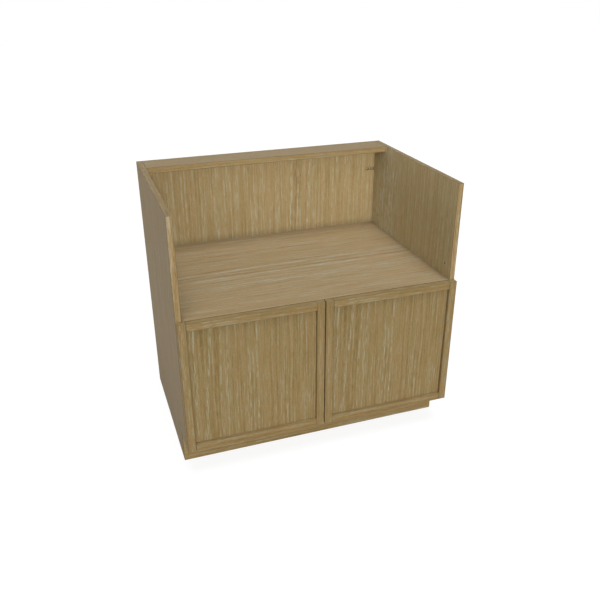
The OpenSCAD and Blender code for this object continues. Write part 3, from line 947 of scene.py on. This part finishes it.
def screw_tree():
    """Geometry nodes that set a screw on each point, along its aim and turned at random, in its metal."""
    tree = bpy.data.node_groups.new("screws_on_points", "GeometryNodeTree")
    for name, kind in (
        ("Points", "Geometry"),
        ("Screw", "Object"),
        ("Metal", "Material"),
        ("Size", "Float"),
        ("Seed", "Int"),
    ):
        tree.interface.new_socket(name, in_out="INPUT", socket_type=f"NodeSocket{kind}")
    tree.interface.new_socket("Screws", in_out="OUTPUT", socket_type="NodeSocketGeometry")
    given = put(tree, "NodeGroupInput").outputs
    screw = put(tree, "GeometryNodeObjectInfo", {"Object": given["Screw"]})
    aim = put(tree, "GeometryNodeInputNamedAttribute", {"Name": "aim"}, data_type="FLOAT_VECTOR")
    facing = {"Vector": aim.outputs["Attribute"]}
    aligned = put(tree, "FunctionNodeAlignRotationToVector", facing, axis="Z")
    quarter = {"Min": 0.0, "Max": math.pi / 2, "Seed": given["Seed"]}
    angle = put(tree, "FunctionNodeRandomValue", quarter, data_type="FLOAT")
    # The float sockets of this node come after its vector ones.
    about = {"Axis": (0, 0, 1), "Angle": angle.outputs[1]}
    spin = put(tree, "FunctionNodeAxisAngleToRotation", about)
    turns = {"Rotation": aligned.outputs["Rotation"], "Rotate By": spin.outputs["Rotation"]}
    turned = put(tree, "FunctionNodeRotateRotation", turns, rotation_space="LOCAL")
    placing = {
        "Points": given["Points"],
        "Instance": screw.outputs["Geometry"],
        "Rotation": turned.outputs["Rotation"],
        "Scale": given["Size"],
    }
    placed = put(tree, "GeometryNodeInstanceOnPoints", placing)
    real = put(tree, "GeometryNodeRealizeInstances", {"Geometry": placed.outputs["Instances"]})
    coat = {"Geometry": real.outputs["Geometry"], "Material": given["Metal"]}
    metal = put(tree, "GeometryNodeSetMaterial", coat)
    put(tree, "NodeGroupOutput", {"Screws": metal.outputs["Geometry"]})
    return tree


def run_tree(tree, points, name, **values):
    """Runs a tree on points, each a (place, aim) pair, and returns the result as a plain mesh object."""
    data = bpy.data.meshes.new(name)
    data.from_pydata([tuple(place) for place, _ in points], [], [])
    aims = data.attributes.new("aim", "FLOAT_VECTOR", "POINT")
    for i, (_, aim) in enumerate(points):
        aims.data[i].vector = aim
    carrier = linked(f"{name}_points", data)
    modifier = carrier.modifiers.new("tree", "NODES")
    modifier.node_group = tree
    for item in tree.interface.items_tree:
        if item.item_type == "SOCKET" and item.in_out == "INPUT" and item.name in values:
            modifier[item.identifier] = values[item.name]
    result = bpy.data.meshes.new_from_object(carrier.evaluated_get(bpy.context.evaluated_depsgraph_get()))
    result.name = name
    bpy.data.objects.remove(carrier)
    return linked(name, result)


def screw_heads(node):
    """The place and aim of each screw's head in a CAD node, from its solids."""
    heads = []
    for low, high, island in solids_of(node):
        spans = high - low
        axis = max(range(3), key=lambda i: spans[i])
        middle = (low + high) / 2
        others = [i for i in range(3) if i != axis]
        widths = []
        for end in (low[axis], high[axis]):
            near = [p for p in island if abs(p[axis] - end) < END_SLICE]
            widths.append(max(abs(p[i] - middle[i]) for p in near for i in others))
        sign = 1 if widths[1] > widths[0] else -1
        place = middle.copy()
        place[axis] = high[axis] if sign > 0 else low[axis]
        aim = Vector((0, 0, 0))
        aim[axis] = sign
        heads.append((place, aim))
    return heads


class CABINET_OT_screws(bpy.types.Operator):
    """Sets the cross-head screws of the back, the cleats and the hinges"""

    bl_idname = "cabinet.screws"
    bl_label = "Screws"

    def execute(self, context):
        zinc = bpy.data.materials["zinc_plated_steel"]
        tree = screw_tree()
        wood = cross_screw("countersunk_screw", 3.6 * MM, 1.75 * MM, 22 * MM, 0)
        plate = cross_screw("plate_screw", 4.0 * MM, 2.3 * MM, 12 * MM, 1.6 * MM)
        cup = cross_screw("cup_screw", 3.0 * MM, 1.6 * MM, 8 * MM, 1.4 * MM)
        sets = [
            ("back_screws", "carcass", wood),
            ("cleat_screws", "carcass", wood),
            ("left_plate_screws", "carcass", plate),
            ("right_plate_screws", "carcass", plate),
            ("left_cup_screws", "left_door", cup),
            ("right_cup_screws", "right_door", cup),
        ]
        for seed, (node, body, template) in enumerate(sets, start=1):
            values = {"Screw": template, "Metal": zinc, "Size": 1.0, "Seed": seed}
            piece = run_tree(tree, screw_heads(node), f"{node}_set", **values)
            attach(piece, body)
            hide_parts(node)
        for template in (wood, plate, cup):
            bpy.data.objects.remove(template)
        return {"FINISHED"}


class CABINET_OT_bumpers(bpy.types.Operator):
    """Makes the soft bumpers behind the doors"""

    bl_idname = "cabinet.bumpers"
    bl_label = "Door bumpers"

    def execute(self, context):
        material = soft_bumper()
        for side in ("left", "right"):
            node = f"{side}_door_bumpers"
            mesh = bmesh.new()
            for low, high, _ in solids_of(node):
                radius = (high.x - low.x) / 2
                height = high.y - low.y
                profile = [(radius * out, height * up) for out, up in BUMPER_OUTLINE]
                dome = lathe(profile, BUMPER_STEPS, "bumper")
                seat = Matrix.Translation(((low.x + high.x) / 2, low.y, (low.z + high.z) / 2))
                dome.transform(seat @ Matrix.Rotation(-math.pi / 2, 4, "X"))
                mesh.from_mesh(dome)
                bpy.data.meshes.remove(dome)
            finished(mesh, f"{node}_domes", [material], f"{side}_door", [node])
        return {"FINISHED"}


class CABINET_OT_dowels(bpy.types.Operator):
    """Gives the hidden dowels their beech"""

    bl_idname = "cabinet.dowels"
    bl_label = "Dowels"

    def execute(self, context):
        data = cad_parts["dowels"].data
        data.materials.clear()
        data.materials.append(turned_beech())
        return {"FINISHED"}


# Stage.

# The camera that was fitted to the photograph: metres, degrees, and the lens and sensor in mm.
CAMERA_PLACE = (-0.6863, -2.0455, 1.4732)
CAMERA_TURN = -19.193
CAMERA_DIP = 26.072
CAMERA_ROLL = -0.206
CAMERA_LENS = 40.878
CAMERA_SENSOR = 36
CAMERA_REACH = 60
# The floor's half-width in metres, how far it lies under the cabinet and how strongly it glows to the eye.
FLOOR_HALF = 14
FLOOR_DROP = 0.5 * MM
FLOOR_GLOW = 0.88
# The sky's level as a light. Seen by the camera it is white.
SKY_LEVEL = 0.16
LAMP_DISTANCE = 4
# Large soft sources, as turn and height in degrees seen from the cabinet, with their spread and level.
LAMPS = (
    ("front_softbox", -4, 13, 8, 0.50),
    ("front_left_softbox", -38, 12, 40, 0.15),
    ("left_softbox", -52, 30, 60, 0.12),
    ("left_side_softbox", -95, 4, 15, 0.13),
    ("right_side_softbox", 95, 4, 15, 0.35),
    ("high_softbox", 0, 76, 30, 0.50),
    ("top_softbox", 0, 70, 60, 0.15),
    ("back_softbox", 165, 12, 40, 0.42),
)


def direction(turn, height):
    """Where a turn and a height in radians point to, from the cabinet's front."""
    return Vector((math.sin(turn) * math.cos(height), -math.cos(turn) * math.cos(height), math.sin(height)))


def seen_directly(tree):
    """The light path's outputs, and 1 where the camera sees something itself or in a reflection."""
    path = put(tree, "ShaderNodeLightPath").outputs
    return path, calc(tree, "MAXIMUM", path["Is Camera Ray"], path["Is Glossy Ray"])


def studio_floor():
    """The floor: to the eye a white sweep with a faint shadow, and grey paint where it throws light back."""
    material, tree, shader = new_material("pale_studio_floor")
    shader.inputs["Roughness"].default_value = 0.9
    shader.inputs["Specular IOR Level"].default_value = 0.0
    _, seen = seen_directly(tree)
    paint = blend(tree, seen, rgba(linear("B3B3B3")), rgba(linear("6E6E6E")))
    tree.links.new(paint, shader.inputs["Base Color"])
    tree.links.new(calc(tree, "MULTIPLY", seen, FLOOR_GLOW), shader.inputs["Emission Strength"])
    shader.inputs["Emission Color"].default_value = (1, 1, 1, 1)
    mesh = bmesh.new()
    bmesh.ops.create_grid(mesh, x_segments=1, y_segments=1, size=FLOOR_HALF)
    data = as_data(mesh, "studio_floor")
    data.materials.append(material)
    floor = linked("studio_floor", data)
    floor.location.z = -FLOOR_DROP


def studio_sky(scene):
    """The sky: a weak even light that is white to the camera, in reflections and through clear parts."""
    world = bpy.data.worlds.new("studio_light")
    world.use_nodes = True
    scene.world = world
    sky = world.node_tree
    path, seen = seen_directly(sky)
    clear = calc(sky, "MAXIMUM", seen, path["Is Transmission Ray"])
    level = ramp(sky, clear, 0.0, 1.0, SKY_LEVEL, 1.0)
    ground = sky.nodes["Background"]
    ground.inputs["Color"].default_value = (1, 1, 1, 1)
    sky.links.new(level, ground.inputs["Strength"])


def studio_lamps():
    """The soft sources, as suns. A level is the light that a white surface facing one would throw back."""
    for name, turn, height, spread, level in LAMPS:
        light = bpy.data.lights.new(name, "SUN")
        light.angle = math.radians(spread)
        light.energy = level * math.pi
        towards = direction(math.radians(turn), math.radians(height))
        lamp = linked(name, light)
        lamp.location = towards * LAMP_DISTANCE
        lamp.rotation_euler = towards.to_track_quat("Z", "Y").to_euler()


def photo_camera(scene):
    """The photograph's camera."""
    data = bpy.data.cameras.new("photo_camera")
    data.lens = CAMERA_LENS
    data.sensor_width = CAMERA_SENSOR
    data.clip_end = CAMERA_REACH
    turn, dip, roll = (math.radians(a) for a in (CAMERA_TURN, CAMERA_DIP, CAMERA_ROLL))
    back = direction(turn, dip)
    right = (-back).cross(Vector((0, 0, 1))).normalized()
    up = right.cross(-back)
    side = right * math.cos(roll) + up * math.sin(roll)
    head = up * math.cos(roll) - right * math.sin(roll)
    camera = linked("photo_camera", data)
    camera.matrix_world = Matrix.Translation(CAMERA_PLACE) @ Matrix((side, head, back)).transposed().to_4x4()
    scene.camera = camera


class CABINET_OT_stage(bpy.types.Operator):
    """Sets the pale floor, the soft lights and the photograph's camera"""

    bl_idname = "cabinet.stage"
    bl_label = "Stage"

    def execute(self, context):
        scene = context.scene
        scene.view_settings.view_transform = "Standard"
        studio_floor()
        studio_sky(scene)
        studio_lamps()
        photo_camera(scene)
        return {"FINISHED"}


class CABINET_PT_sidebar(bpy.types.Panel):
    """Lists the cabinet's settings and its steps"""

    bl_label = "Sink base cabinet"
    bl_idname = "CABINET_PT_sidebar"
    bl_space_type = "VIEW_3D"
    bl_region_type = "UI"
    bl_category = "Cabinet"

    def draw(self, context):
        for group in (context.scene.cabinet_sizes, context.scene.cabinet_colours):
            box = self.layout.box()
            for key in group.bl_rna.properties.keys():
                if key not in ("rna_type", "name"):
                    box.prop(group, key)
        for step in STEPS:
            self.layout.operator(step.bl_idname)


STEPS = (
    CABINET_OT_stage,
    CABINET_OT_carcass,
    CABINET_OT_doors,
    CABINET_OT_hinges,
    CABINET_OT_screws,
    CABINET_OT_bumpers,
    CABINET_OT_dowels,
)
CLASSES = (CabinetSizes, CabinetColours, *STEPS, CABINET_PT_sidebar)


def register():
    for cls in CLASSES:
        bpy.utils.register_class(cls)
    bpy.types.Scene.cabinet_sizes = bpy.props.PointerProperty(type=CabinetSizes)
    bpy.types.Scene.cabinet_colours = bpy.props.PointerProperty(type=CabinetColours)


def unregister():
    del bpy.types.Scene.cabinet_colours
    del bpy.types.Scene.cabinet_sizes
    for cls in reversed(CLASSES):
        bpy.utils.unregister_class(cls)


def main():
    register()
    bpy.ops.cabinet.stage()
    bpy.ops.cabinet.carcass()
    bpy.ops.cabinet.doors()
    bpy.ops.cabinet.hinges()
    bpy.ops.cabinet.screws()
    bpy.ops.cabinet.bumpers()
    bpy.ops.cabinet.dowels()
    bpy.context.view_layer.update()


if __name__ == "__main__":
    main()
